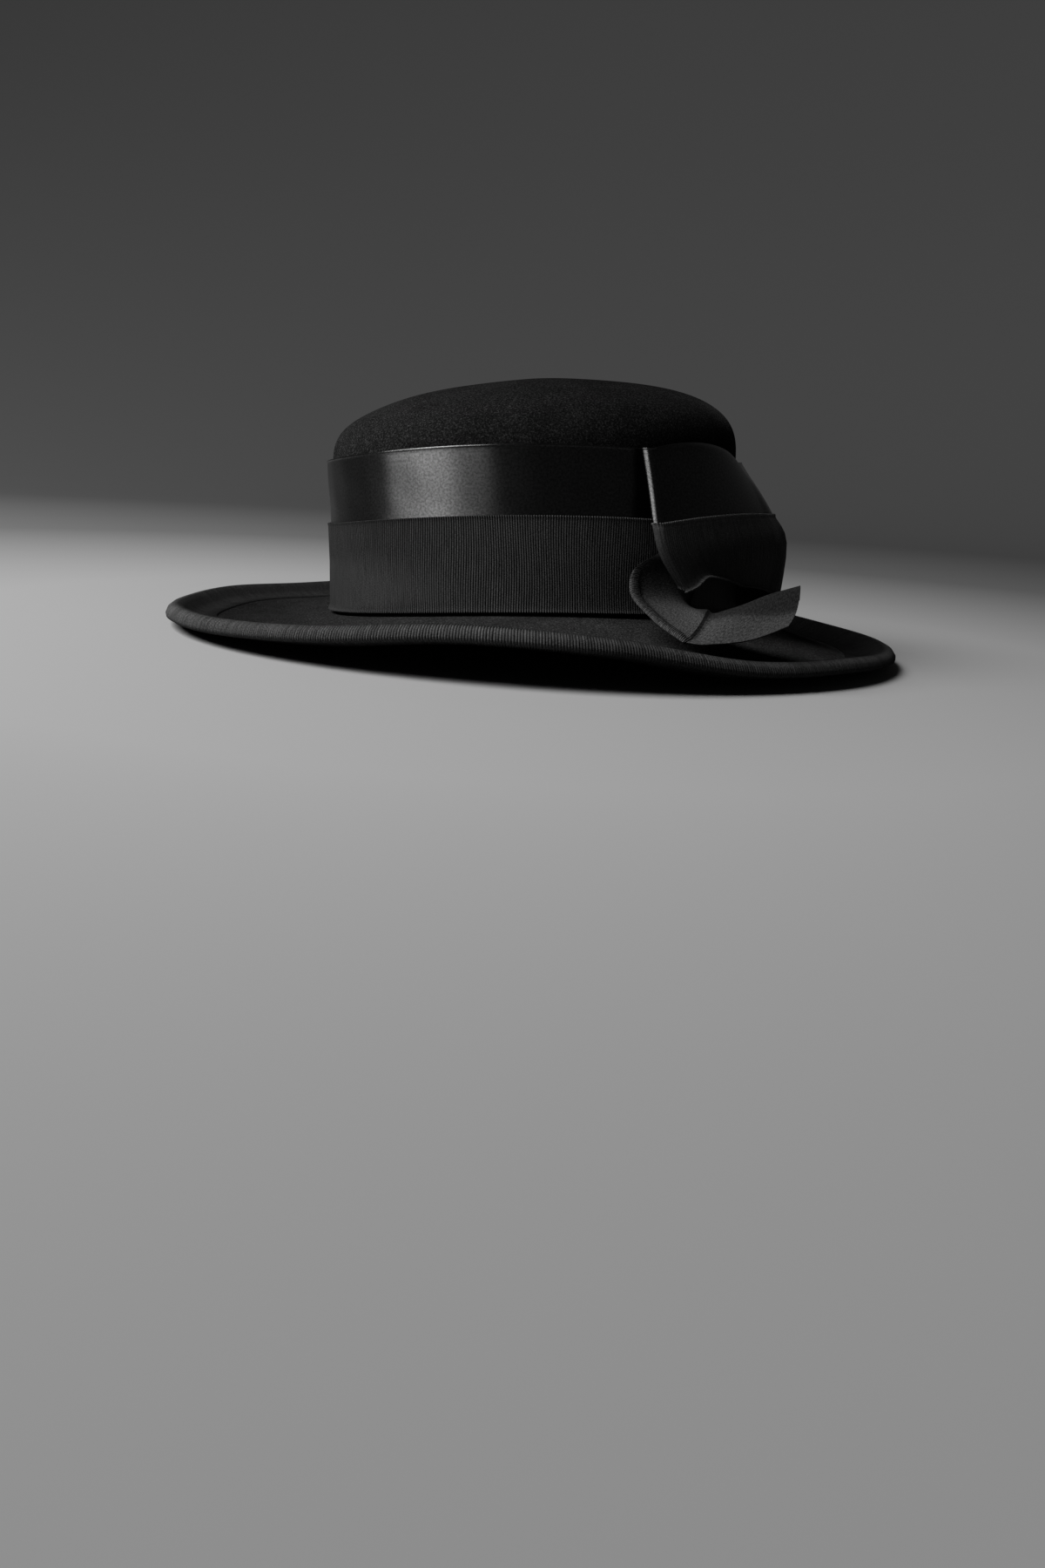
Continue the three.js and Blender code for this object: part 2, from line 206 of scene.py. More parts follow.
def even_angles(half_length, half_width, count):
    """Angles of points that lie evenly along an oval, read off its running length, and that length."""
    fine = np.linspace(0, 2 * np.pi, OVAL_STEPS)
    speed = np.hypot(half_length * np.sin(fine), half_width * np.cos(fine))
    run = np.concatenate([[0], np.cumsum((speed[1:] + speed[:-1]) / 2 * np.diff(fine))])
    return np.interp(np.arange(count) / count * run[-1], run, fine), run[-1]


def oval_length(half_length, half_width):
    """Length of an oval."""
    return even_angles(half_length, half_width, 1)[1]


# Making pieces

SHARP_ANGLE = np.radians(70)
MERGE_DISTANCE = 1e-7


def piece(name, node, material, grid, ring=False, loop=True, merge=False):
    """A piece of the hat from a grid of upright points, standing for one of its solids.

    Rows of the grid run along the piece and close on themselves if it is a ring. Columns run round its
    section and close if it is a loop. A loop that isn't a ring gets flat ends between front and back."""
    count, corners = grid.shape[:2]
    placed = stood(grid)
    i = np.arange(count if ring else count - 1)[:, None]
    j = np.arange(corners if loop else corners - 1)[None, :]
    i_next, j_next = (i + 1) % count, (j + 1) % corners
    here, ahead = i * corners, i_next * corners
    quads = points_of_quads(here + j, here + j_next, ahead + j_next, ahead + j)
    u, v = running(placed, 0), running(placed, 1)
    uvs = quad_uvs(u, v, i, j)
    if loop and not ring:
        k = np.arange(corners // 2 - 1)
        near = np.stack([k, corners - 1 - k, corners - 2 - k, k + 1], -1)
        far = (count - 1) * corners + near[:, ::-1]
        quads = np.concatenate([quads, near, far])
        uvs = np.concatenate([uvs, end_uvs(u[0], v, near), end_uvs(u[count - 1], v, near[:, ::-1])])
    flat = placed.reshape(-1, 3)
    if volume(flat, quads) < 0:
        quads, uvs = quads[:, ::-1], uvs[:, ::-1]
    mesh = bpy.data.meshes.new(name)
    mesh.vertices.add(len(flat))
    mesh.vertices.foreach_set("co", flat.astype(np.float32).ravel())
    mesh.loops.add(quads.size)
    mesh.loops.foreach_set("vertex_index", quads.astype(np.int32).ravel())
    mesh.polygons.add(len(quads))
    mesh.polygons.foreach_set("loop_start", np.arange(0, quads.size, 4, dtype=np.int32))
    mesh.uv_layers.new(name="UVMap").uv.foreach_set("vector", uvs.astype(np.float32).ravel())
    mesh.update(calc_edges=True)
    mesh.validate()
    if merge:
        merge_doubles(mesh)
    mesh.shade_smooth()
    mesh.set_sharp_from_angle(angle=SHARP_ANGLE)
    mesh.materials.append(material)
    made = bpy.data.objects.new(name, mesh)
    bpy.context.scene.collection.objects.link(made)
    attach(made, "root")
    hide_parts(node)
    return made


def points_of_quads(*corners):
    """Rows of four corner numbers from four arrays of them."""
    return np.stack(np.broadcast_arrays(*corners), -1).reshape(-1, 4)


def running(grid, axis):
    """Running length along one axis of a grid, averaged over the other, with the closing step at its end."""
    steps = np.linalg.norm(np.roll(grid, -1, axis) - grid, axis=-1).mean(1 - axis)
    return np.concatenate([[0], np.cumsum(steps)])


def quad_uvs(u, v, i, j):
    """UV of each quad's corners: the running lengths along and round the piece, in metres."""
    along = points_of_quads(u[i], u[i], u[i + 1], u[i + 1] + 0 * j)
    across = points_of_quads(v[j], v[j + 1], v[j + 1], v[j] + 0 * i)
    return np.stack([along, across], -1)


def end_uvs(u, v, corners):
    """UV of an end's quads."""
    return np.stack([np.full(corners.shape, u), v[corners]], -1)


def volume(flat, quads):
    """Volume inside a closed mesh, negative where its faces point inwards."""
    a, b, c, d = (flat[quads[:, k]] for k in range(4))
    return np.einsum("ij,ij->", a, np.cross(b, c)) + np.einsum("ij,ij->", a, np.cross(c, d))


def merge_doubles(mesh):
    """Close the poles, where a whole ring of points lies at one place."""
    work = bmesh.new()
    work.from_mesh(mesh)
    bmesh.ops.remove_doubles(work, verts=work.verts, dist=MERGE_DISTANCE)
    work.to_mesh(mesh)
    work.free()


def grid_normals(grid, ring):
    """Unit normals of a grid, from the differences between neighbours along it and across it, and its unit
    direction across."""
    along = np.roll(grid, -1, 0) - np.roll(grid, 1, 0) if ring else np.gradient(grid, axis=0)
    across = np.gradient(grid, axis=1)
    return unit(np.cross(along, across)), unit(across)


def rib_heights(count, samples):
    """Heights from 0 to 1 of a run of ribs: the rounded hump |sin(pi t)| ** roundness on each."""
    return np.abs(np.sin(np.pi * np.arange(count * samples) / samples)) ** RIB_ROUNDNESS


def ribbed_angles(half_length, half_width, pitch, samples):
    """Number of ribs that go round an oval at about a pitch, and a column of the angles of their samples."""
    count = round(oval_length(half_length, half_width) / pitch)
    angle, _ = even_angles(half_length, half_width, count * samples)
    return count, angle[:, None]


def grosgrain(base, widths, heights, ring=False, side=1, relief=1.0, kept=slice(None), beads=(1.0, 1.0),
              thick=RIBBON):
    """Ribbed ribbon on a smooth grid whose rows run along it and whose columns run across it.

    The front is the grid moved along its normal, or against it for side -1, by the ribs' height, of which
    relief is a share. Near each edge the ribs swell to beads, by a share for the first edge and one for the
    last, and reach past the edge. The back is the grid moved the other way by the ribbon's thickness, with
    the columns that are kept."""
    normal, across = grid_normals(base, ring)
    normal = normal * side
    half = widths[-1] / 2
    edge = np.where(widths < half, *beads)
    inward = np.minimum(widths, widths[-1] - widths)
    bead = edge * np.exp(-(inward / BEAD_SPAN) ** 2)
    ribs = RIB_HEIGHT * (relief + (1 + BEAD_SWELL - relief) * bead) * heights[:, None]
    reach = BEAD_REACH * edge * heights[:, None] * (inward <= 0) * np.sign(widths - half)
    front = base + normal * ribs[..., None] + across * reach[..., None]
    back = base - normal * thick + across * reach[..., None]
    return np.concatenate([front, back[:, kept][:, ::-1]], 1)


# Crown

def wall(angle, z, out=0.0, share=1.0):
    """The crown's oval wall at a height, which narrows and leans back with the height."""
    taper = WALL_TAPER * z / WALL_RUN
    x = (HEAD_HALF_LENGTH - taper + out) * share * np.cos(angle) + WALL_LEAN * z / WALL_RUN
    return points(x, (HEAD_HALF_WIDTH - taper + out) * share * np.sin(angle), z)


def crown_skin(angle, part, inset):
    """Part 0 to 1 climbs the wall from the brim to the shoulder. Part 1 to 2 turns over the tip to its pole:
    height grows as sin(t) ** (2 / squareness), and the oval shrinks as cos(t) ** (2 / fullness)."""
    shoulder = around(SHOULDER_HEIGHT, angle)
    foot = around(BAND_LINE, angle) - BRIM_DROP + FELT / 2
    turn = np.clip(part - 1, 0, 1) * np.pi / 2
    rise = np.sin(turn) ** (2 / TIP_SQUARENESS)
    z = mix(foot, shoulder, np.minimum(part, 1)) + (CROWN_HEIGHT - inset - shoulder) * rise
    share = np.cos(turn) ** (2 / around(TIP_FULLNESS, angle))
    return wall(angle, z, -inset, np.where(part >= 2, 0, share))


CROWN_COLUMNS = 360
CROWN_WALL_ROWS = 16
CROWN_TIP_ROWS = 64
CROWN_TIP_EASE = 1.35
CROWN_SOFT_START = (0.7, 1.1)
POLE_FADE = 0.1
SOFT_HEIGHT = 0.28


def soft_hand(grid):
    """Slow unevenness of blocked felt: a few sines of the place, some tens of millimetres long. Each divisor
    is the run in millimetres that turns a sine by one radian, and a number added in a sine only shifts it."""
    x, y, z = np.moveaxis(grid, -1, 0)
    long_waves = np.sin(x / 19 + z / 31) * np.sin(y / 23 + 1.3)
    short_waves = 0.6 * np.sin(x / 11 - y / 14 + z / 9 + 0.7)
    return SOFT_HEIGHT * (long_waves + short_waves)


def make_crown(felt):
    """Felt crown, outside and inside, with slow waves above its wall that fade out at the pole."""
    angle = np.linspace(0, 2 * np.pi, CROWN_COLUMNS, endpoint=False)[:, None]
    tip = 1 + np.linspace(0, 1, CROWN_TIP_ROWS) ** CROWN_TIP_EASE
    part = np.concatenate([np.linspace(0, 1, CROWN_WALL_ROWS)[:-1], tip])[None, :]
    outside = crown_skin(angle, part, 0.0)
    normal, _ = grid_normals(outside, ring=True)
    fade = smooth(part, *CROWN_SOFT_START) * smooth(2 - part, 0, POLE_FADE)
    outside = outside + normal * (soft_hand(outside) * fade)[..., None]
    inside = crown_skin(angle, part, FELT)
    grid = np.concatenate([outside[:, ::-1], inside], 1)
    piece("crown_felt", "crown", felt, grid, ring=True, loop=False, merge=True)


# Brim and binding

def rim_height(angle):
    """The rim's height on a smooth closed curve through the heights on both sides."""
    heights = np.array(RIM_RIGHT + RIM_LEFT[-2:0:-1])
    wrapped = np.concatenate([heights[-1:], heights, heights[:2]])
    return through(wrapped, 1 + angle / (2 * np.pi) * len(heights))


CURL_SAMPLES = 401
CURL_STEPS = np.linspace(0, 1, CURL_SAMPLES)
CURL_LENGTHS, CURL_ANGLES = np.array(CURL_TURNS).T
CURL_SLOPES = np.radians(np.interp(CURL_STEPS * CURL_LENGTHS[-1], CURL_LENGTHS, CURL_ANGLES))
CURL_REACHES = np.cumsum(np.cos(CURL_SLOPES)) - 1
CURL_LIFTS = np.cumsum(np.sin(CURL_SLOPES))
BRIM_STEP = 0.01


def brim_ends(angle):
    """Ovals of the head opening and of the felt's edge, both on the level."""
    half_length, half_width = RIM_HALF_LENGTH - EDGE_INSET, RIM_HALF_WIDTH - EDGE_INSET
    rim = points(half_length * np.cos(angle), half_width * np.sin(angle), 0.0)
    return wall(angle, 0.0, -FELT), rim


def brim_middle(angle, part):
    """Middle of the brim's felt: part 0 is the head opening, 1 the start of the curl and 2 the felt's edge.
    The flat eases from the band's line to the curl's trough. Along the curl the slope grows evenly, then
    falls evenly as the edge turns over, so reach and lift are running sums of the slope's cosine and sine."""
    hole, rim = brim_ends(angle)
    run = CURL_RUN / np.linalg.norm(rim - hole, axis=-1)
    rise = around(CURL_RISE, angle)
    trough = rim_height(angle) - EDGE_INSET - rise
    flat = np.minimum(part, 1)
    eased = (flat + smooth(flat, 0, 1)) / 2
    along = np.maximum(part - 1, 0)
    reach = (1 - run) * flat + run * np.interp(along, CURL_STEPS, CURL_REACHES / CURL_REACHES[-1])
    lift = rise * np.interp(along, CURL_STEPS, CURL_LIFTS / CURL_LIFTS.max())
    plan = hole + (rim - hole) * reach[..., None]
    plan[..., 2] = mix(around(BAND_LINE, angle) - BRIM_DROP, trough, eased) + lift
    return plan


def brim_layer(angle, part, above, past=0.0):
    """A point at a distance above the felt's middle, square to it, and at a distance past it along the brim.
    The direction along the brim is read off a short step to both sides."""
    ahead = brim_middle(angle, np.minimum(part + BRIM_STEP, 2))
    behind = brim_middle(angle, np.maximum(part - BRIM_STEP, 0))
    along = unit(ahead - behind)
    hole, rim = brim_ends(angle)
    level = unit(rim - hole)
    up = along[..., 2:] * -level + (along * level).sum(-1, keepdims=True) * np.array([0.0, 0.0, 1.0])
    above, past = np.asarray(above)[..., None], np.asarray(past)[..., None]
    return brim_middle(angle, part) + up * above + along * past


BRIM_COLUMNS = 480
BRIM_FLAT_ROWS = 36
BRIM_CURL_ROWS = 16
CURL_EASE = 1.6
BRIM_SOFT_START = (0.1, 0.4)
BRIM_SOFT_END = (0.05, 0.3)


def make_brim(felt):
    """Felt brim, top and underside, with slow waves in its flat."""
    angle = np.linspace(0, 2 * np.pi, BRIM_COLUMNS, endpoint=False)[:, None]
    curl = 2 - np.linspace(1, 0, BRIM_CURL_ROWS)[1:] ** CURL_EASE
    part = np.concatenate([np.linspace(0, 1, BRIM_FLAT_ROWS), curl])[None, :]
    middle = brim_layer(angle, part, 0.0)
    wave = soft_hand(middle) * smooth(part, *BRIM_SOFT_START) * smooth(1 - part, *BRIM_SOFT_END)
    top = brim_layer(angle, part, FELT / 2 + wave)
    under = brim_layer(angle, part, wave - FELT / 2)
    grid = np.concatenate([top, under[:, ::-1]], 1)
    piece("brim_felt", "brim", felt, grid, ring=True)


# Binding: parts of the brim, as brim_middle() counts them, where its columns lie
BINDING_SAMPLES = 4
BINDING_TOP_PARTS = np.array([0.91, 0.915, 1.1, 1.4, 1.62, 1.72, 1.82, 1.91, 2.0])
BINDING_UNDER_PARTS = np.array([2.0, 1.84, 1.68, 1.4, 1.02, 1.0])
BINDING_FOLD = np.radians([50, 0, -50])
BINDING_LIFT = (1.0, 1.6)
BINDING_INNER_PARTS = np.array([1.1, 1.4, 1.62, 1.82, 2.0])
BINDING_EDGE_OUT = FELT / 2 + RIBBON + RIB_HEIGHT


def make_binding(ribbed):
    """Ribbon folded over the brim's edge: along the top, round the edge in a half circle and back under it,
    with its ribs running square to the edge. Inside it lies on the felt."""
    count, angle = ribbed_angles(RIM_HALF_LENGTH, RIM_HALF_WIDTH, BINDING_PITCH, BINDING_SAMPLES)
    relief = BINDING_RIB * (1 - rib_heights(count, BINDING_SAMPLES)[:, None])
    parts = BINDING_TOP_PARTS[None, :]
    out = mix(BINDING_EDGE_OUT, BINDING_OUT, smooth(parts, *BINDING_LIFT)) - relief
    top = brim_layer(angle, parts, np.where(parts <= parts[:, :1], FELT / 2, out))
    edge = np.full((1, 1), 2.0)
    turned = mix(BINDING_EDGE_OUT, BINDING_OUT, (1 + np.sin(BINDING_FOLD)) / 2) - relief
    fold = brim_layer(angle, edge, turned * np.sin(BINDING_FOLD), turned * np.cos(BINDING_FOLD))
    parts = BINDING_UNDER_PARTS[None, :]
    under = brim_layer(angle, parts, np.where(parts <= parts[:, -1:], -FELT / 2, relief - BINDING_EDGE_OUT))
    lining = BINDING_INNER_PARTS[None, :]
    below = brim_layer(angle, lining[:, 1:], -FELT / 2)
    above = brim_layer(angle, lining[:, ::-1], FELT / 2)
    grid = np.concatenate([top, fold, under, below, above], 1)
    made = piece("binding_ribbon", "brim_binding", ribbed, grid, ring=True)


# Ribbons of the band

SATIN_COLUMNS = 480
SATIN_ROWS = 26
SATIN_SELVEDGE = np.array([1.2, 0.9, 0.7, 0.5, 0.3, 0.15, 0.0])
SATIN_BEAD = 0.3
SATIN_BEAD_PLACE = 0.45
SATIN_BEAD_WIDTH = 0.35
SATIN_WAVE = 0.1
SATIN_WAVE_START = 8.0
SATIN_WAVES = ((25, 6.0), (11, -9.0))


def satin_bead(inward):
    """Bell-shaped bead of the satin, at a distance inside its edge."""
    return SATIN_BEAD * np.exp(-((inward - SATIN_BEAD_PLACE) / SATIN_BEAD_WIDTH) ** 2)


def make_satin_band(satin):
    """Satin round the crown, from behind the grosgrain to its upper edge, which stands off the felt in front.
    Slow waves lie over it, a product of two sines, each with a number of waves round the hat and a slant. A
    bead runs along its edge."""
    angle = np.linspace(0, 2 * np.pi, SATIN_COLUMNS, endpoint=False)[:, None]
    top = GROSGRAIN_WIDTH + SATIN_SHOWN
    plain = np.linspace(GROSGRAIN_WIDTH - BAND_LAP, top - 2 * SATIN_SELVEDGE[0], SATIN_ROWS)
    height = np.concatenate([plain, top - SATIN_SELVEDGE])[None, :]
    front = ((1 - np.cos(angle)) / 2) ** 2
    stand = SATIN_STAND_OFF * front * smooth(height, GROSGRAIN_WIDTH, top)
    first, second = (np.sin(waves * angle + height / slant) for waves, slant in SATIN_WAVES)
    fade = smooth(height, GROSGRAIN_WIDTH, GROSGRAIN_WIDTH + SATIN_WAVE_START)
    out = AIR + SOLID_RIBBON + stand + satin_bead(top - height) + SATIN_WAVE * first * second * fade
    z = around(BAND_LINE, angle) + height
    outside = wall(angle, z, out)
    inside = wall(angle, z, out - RIBBON)
    grid = np.concatenate([outside, inside[:, ::-1]], 1)
    made = piece("satin_ribbon", "satin_band", satin, grid, ring=True)


BAND_HALF_LENGTH = HEAD_HALF_LENGTH + GROSGRAIN_OUT
BAND_HALF_WIDTH = HEAD_HALF_WIDTH + GROSGRAIN_OUT


def band_point(degrees, stand, z):
    """A point at a distance outside the band, on the line that stands square to its oval."""
    angle = np.radians(degrees)
    square = unit(points(np.cos(angle) / BAND_HALF_LENGTH, np.sin(angle) / BAND_HALF_WIDTH, 0.0))
    oval = points(BAND_HALF_LENGTH * np.cos(angle) + GROSGRAIN_SHIFT, BAND_HALF_WIDTH * np.sin(angle), z)
    return oval + square * np.asarray(stand)[..., None]


RIB_SAMPLES = 6
BAND_ROWS = np.array([0, 0.3, 0.7, 1.4, 3, 6, 10, 15, 21, 27, 33, 37.5, 39.8, 40.5, 40.9, GROSGRAIN_WIDTH])
RIB_SWAY = 0.7
SWAY_WAVES = 7
SWAY_SLANT = 14.0
SWAY_BOW = 2.0
BAND_BACK = 0.25


def make_grosgrain_band(ribbed):
    """Ribbed band round the base of the crown. Its ribs sway a little, a sine round the hat times a sine of
    the height, and its lower edge flares by an exponential."""
    count, angle = ribbed_angles(BAND_HALF_LENGTH, BAND_HALF_WIDTH, RIB_PITCH, RIB_SAMPLES)
    height = BAND_ROWS[None, :]
    bow = np.sin(height / GROSGRAIN_WIDTH * SWAY_BOW)
    sway = RIB_SWAY / BAND_HALF_LENGTH * np.sin(SWAY_WAVES * angle + height / SWAY_SLANT) * bow
    flare = around(FLARE, angle) * np.exp(-height / FLARE_RUN)
    z = around(BAND_LINE, angle) + height
    base = band_point(np.degrees(angle + sway), flare - RIB_HEIGHT, z)
    heights = rib_heights(count, RIB_SAMPLES)
    grid = grosgrain(base, BAND_ROWS, heights, ring=True, kept=[0, -1], thick=BAND_BACK)
    made = piece("grosgrain_ribbon", "grosgrain_band", ribbed, grid, ring=True)


# Bow

LOOP_NOSE_SHAPE = np.array([(1.0, 0.0), (0.35, 0.0), (0.0, 0.1), (0.6, 0.75), (1.1, 0.93), (1.8, 1.0)])
LOOP_FACE_PARTS = np.linspace(0, 1, 8)[1:]
LOOP_SEAT_PARTS = np.array([0.4, 0.75, 1.0])
LOOP_PLACES = len(LOOP_NOSE_SHAPE) + len(LOOP_FACE_PARTS) + len(LOOP_SEAT_PARTS)

# Rise of the loop's lower edge at places along its path, and the levels over which it comes in
LOOP_LIP = np.array([
    (1.0, 2.0), (3.0, 1.8), (4.0, 1.1), (5.0, 0.5), (6.0, 0.2), (6.4, 0.4), (6.6, 1.0), (6.8, 2.0),
    (7.0, 2.8), (7.3, 2.7), (8.0, 1.3), (9.0, 0.0), (10.0, -0.5), (11.0, 1.9), (12.0, 4.5), (12.5, 7.0),
    (13.0, 0.0),
])
LOOP_LIP_LEVELS = (3.0, 4.0)


def bent(first, middle, last, place, part):
    """Curve of the second degree from a first value to a last one, through a middle value at a place."""
    bulge = (middle - mix(first, last, place)) / (place * (1 - place))
    return mix(first, last, part) + bulge * part * (1 - part)


def loop_surface(level, place):
    """The bow's loop: for each level, a path of angle, stand-off and height. It runs from the inner leaf
    round the folded nose, over the face through its cheek to the turn, and returns to the band. A smooth curve
    joins the levels of the table, and another the points along the path."""
    columns = np.moveaxis(through(LOOP_LEVELS, level), -1, 0)
    fold, turned, inner, nose, cheek, turn, fold_z, cheek_z, turn_z, seat_z = columns
    cheek = cheek - LOOP_TOP_BEND * np.exp(-level / LOOP_TOP_RUN)
    nose_end = fold + LOOP_NOSE * LOOP_NOSE_SHAPE[-1, 0]
    flat = np.zeros_like(fold)
    seat = mix(*LOOP_SEAT_STANDS, smooth(level, 0, LOOP_SEAM))
    leaf = [(fold + LOOP_LEAF, LOOP_LEAF_STAND + flat, fold_z)]
    noses = [(fold + LOOP_NOSE * along, mix(inner, nose, out), fold_z) for along, out in LOOP_NOSE_SHAPE]
    middle = (LOOP_CHEEK_ANGLE - nose_end) / (turned - nose_end)
    faces = [
        (
            mix(nose_end, turned, p),
            bent(nose, cheek, turn, middle, p),
            bent(fold_z, cheek_z, turn_z, middle, p),
        )
        for p in LOOP_FACE_PARTS
    ]
    seats = [
        (
            mix(turned, LOOP_SEAT_ANGLE, np.sin(p * np.pi / 2)),
            mix(seat, turn, np.cos(p * np.pi / 2)),
            mix(turn_z, seat_z, p),
        )
        for p in LOOP_SEAT_PARTS
    ]
    path = np.array([np.stack(row, -1) for row in leaf + noses + faces + seats])
    placed = through(path, place)
    lip = np.interp(place, *LOOP_LIP.T)[:, None] * smooth(level, *LOOP_LIP_LEVELS)
    return band_point(placed[..., 0], placed[..., 1], placed[..., 2] + lip)


def loop_line(level):
    """The loop's path at one level, as points for a list of places."""
    return lambda place: loop_surface(np.array([level]), place)[:, 0]


def even_places(line, last, count):
    """Places that lie evenly along a line from its place 0 to its last one, and its length, both read off its
    running length."""
    fine = np.linspace(0, last, PATH_STEPS)
    run = np.concatenate([[0], np.cumsum(np.linalg.norm(np.diff(line(fine), axis=0), axis=-1))])
    return np.interp(np.linspace(0, run[-1], count), run, fine), run[-1]


def ribbed_places(line, last, pitch):
    """Number of ribs that lie along a line at about a pitch, the places of their samples and its length."""
    _, length = even_places(line, last, 2)
    count = round(length / pitch)
    place, _ = even_places(line, last, count * RIB_SAMPLES)
    return count, place, length


LOOP_SATIN_ROWS = 28
LOOP_SATIN_COLUMNS = 260
LOOP_SATIN_MIDDLE = 1.0
LOOP_LEVEL_DROP = 15.8
LOOP_LEVEL_EASE = 1.6


def make_satin_loop(satin):
    """Upper half of the loop, from just under the grosgrain's edge to its top edge, beaded as on the band."""
    level = (LOOP_SEAM + LOOP_LAP) * np.linspace(1, 0, LOOP_SATIN_ROWS) ** LOOP_LEVEL_EASE
    place, length = even_places(loop_line(LOOP_SATIN_MIDDLE), LOOP_PLACES, LOOP_SATIN_COLUMNS)
    base = loop_surface(level, place)
    normal, _ = grid_normals(base, ring=False)
    base = base + normal * satin_bead(level * LOOP_LEVEL_DROP)[:, None]
    grid = np.concatenate([base, (base - normal * RIBBON)[:, ::-1]], 1)
    made = piece("bow_satin", "bow_loop_satin", satin, grid)


LOOP_RIB_LEVELS = np.array([
    0, 0.012, 0.03, 0.06, 0.12, 0.25, 0.45, 0.7, 0.95, 1.2, 1.45, 1.7, 1.86, 1.94, 1.975, 2.0,
])
LOOP_RIB_WIDTH = 31.0
LOOP_RIB_MIDDLE = LOOP_SEAM + 1
LIP_CURL_START = (4.5, 7.0)


def make_grosgrain_loop(ribbed):
    """Lower half of the loop, with low ribs from the seam to the lip, whose edge curls out by an exponential
    behind the fold."""
    level = LOOP_SEAM + LOOP_RIB_LEVELS
    count, place, length = ribbed_places(loop_line(LOOP_RIB_MIDDLE), LOOP_PLACES, RIB_PITCH)
    base = loop_surface(level, place)
    normal, _ = grid_normals(base, ring=False)
    near_edge = np.exp(-(level[-1] - level) / LOOP_LIP_RUN)
    curl = LOOP_LIP_CURL * near_edge * smooth(place, *LIP_CURL_START)[:, None]
    base = base - normal * (LOOP_LAYER + curl)[..., None]
    widths = LOOP_RIB_LEVELS / LOOP_RIB_LEVELS[-1] * LOOP_RIB_WIDTH
    grid = grosgrain(base, widths, rib_heights(count, RIB_SAMPLES), side=-1, relief=LOOP_RELIEF)
    made = piece("bow_grosgrain", "bow_loop_grosgrain", ribbed, grid)


TAIL_ROWS = np.concatenate([
    [0, 0.3, 0.7, 1.2, 1.8, 2.4, 3.0, 3.6, 4.2, 4.8, 5.3, 5.7, 6.0, 6.4, 7.0, 8.0, 9.5],
    np.arange(11.5, 36, 3),
    [37, 38.5, 39.5, 40.5, 42, 44, 46, 48, 48.4, 48.7, 49],
])
TAIL_MIDDLE = 1.0
TAIL_LAST = len(TAIL_STATIONS) - 1


def tail_surface(across, place):
    """The bow's tail: smooth curves through its stations along it, and through four points across it. Near
    the crease straight lines from station to station take over, by a bell-shaped share."""
    before = np.clip(np.floor(place).astype(int), 0, TAIL_LAST - 1)
    part = (place - before)[:, None, None]
    sharp = np.exp(-((place - TAIL_CREASE) / CREASE_RUN) ** 2)[:, None, None]
    lines = mix(TAIL_STATIONS[before], TAIL_STATIONS[before + 1], part)
    stations = mix(through(TAIL_STATIONS, place), lines, sharp)
    grid = np.moveaxis(through(np.moveaxis(stations, 1, 0), across), 0, 1)
    return band_point(grid[..., 0], grid[..., 1], grid[..., 2])


def tail_line(place):
    """The tail's path along its middle."""
    return tail_surface(np.array([TAIL_MIDDLE]), place)[:, 0]


def make_tail(ribbed):
    """The bow's hanging end: down to its tip near the brim's edge, then up to its cut end. Its outer edge is
    rolled over to a narrow hem as far as the tip, a half ellipse across its width with a bell-shaped groove
    inside it, whose line goes on faintly to the cut end. Beyond the tip's crease the ribbon drops steeply and
    eases back, a rise and a fall of exponentials."""
    across = np.interp(TAIL_ROWS, TAIL_COLUMNS, np.arange(len(TAIL_COLUMNS)))
    count, place, length = ribbed_places(tail_line, TAIL_LAST, TAIL_PITCH)
    base = tail_surface(across, place)
    normal, _ = grid_normals(base, ring=False)
    hump = np.sqrt(np.maximum(1 - (2 * TAIL_ROWS / HEM_WIDTH - 1) ** 2, 0))
    hem = (smooth(place, *HEM_START) * smooth(HEM_END - place, 0, HEM_FADE))[:, None]
    groove = np.exp(-((TAIL_ROWS - HEM_WIDTH) / GROOVE_WIDTH) ** 2)
    past = np.maximum(place - CREASE_VALLEY, 0)[:, None]
    valley = CREASE_DEPTH * (1 - np.exp(-past / CREASE_STEP)) * np.exp(-past / CREASE_WIDTH)
    faint = FAINT_SHARE * smooth(place, *FAINT_START)[:, None]
    depth = np.maximum(hem, faint) * GROOVE_DEPTH * groove
    rise = hem * HEM_RISE * hump - depth - valley * smooth(TAIL_ROWS, 0, 2 * HEM_WIDTH)
    base = base + normal * rise[..., None]
    relief = mix(1.0, PANEL_RELIEF, smooth(TAIL_ROWS, HEM_WIDTH, 1.5 * HEM_WIDTH))
    relief = np.where(hem > 0, relief, PANEL_RELIEF)
    grid = grosgrain(base, TAIL_ROWS, rib_heights(count, RIB_SAMPLES), relief=relief, beads=(0.0, 1.0))
    made = piece("bow_end", "bow_tail", ribbed, grid)


# Materials

def new_material(name):
    """An empty material with its nodes, and its shader."""
    material = bpy.data.materials.new(name)
    material.use_nodes = True
    tree = material.node_tree
    return material, tree, tree.nodes["Principled BSDF"]


def add(tree, kind, **values):
    """A node with some of its properties set."""
    node = tree.nodes.new(kind)
    for key, value in values.items():
        setattr(node, key, value)
    return node


def noise(tree, coordinates, scale=1.0, detail=2.0, roughness=0.5):
    """Noise on a vector, with about as many lumps to a metre as its scale says."""
    node = add(tree, "ShaderNodeTexNoise")
    node.inputs["Scale"].default_value = scale
    node.inputs["Detail"].default_value = detail
    node.inputs["Roughness"].default_value = roughness
    tree.links.new(coordinates, node.inputs["Vector"])
    return node.outputs["Fac"]


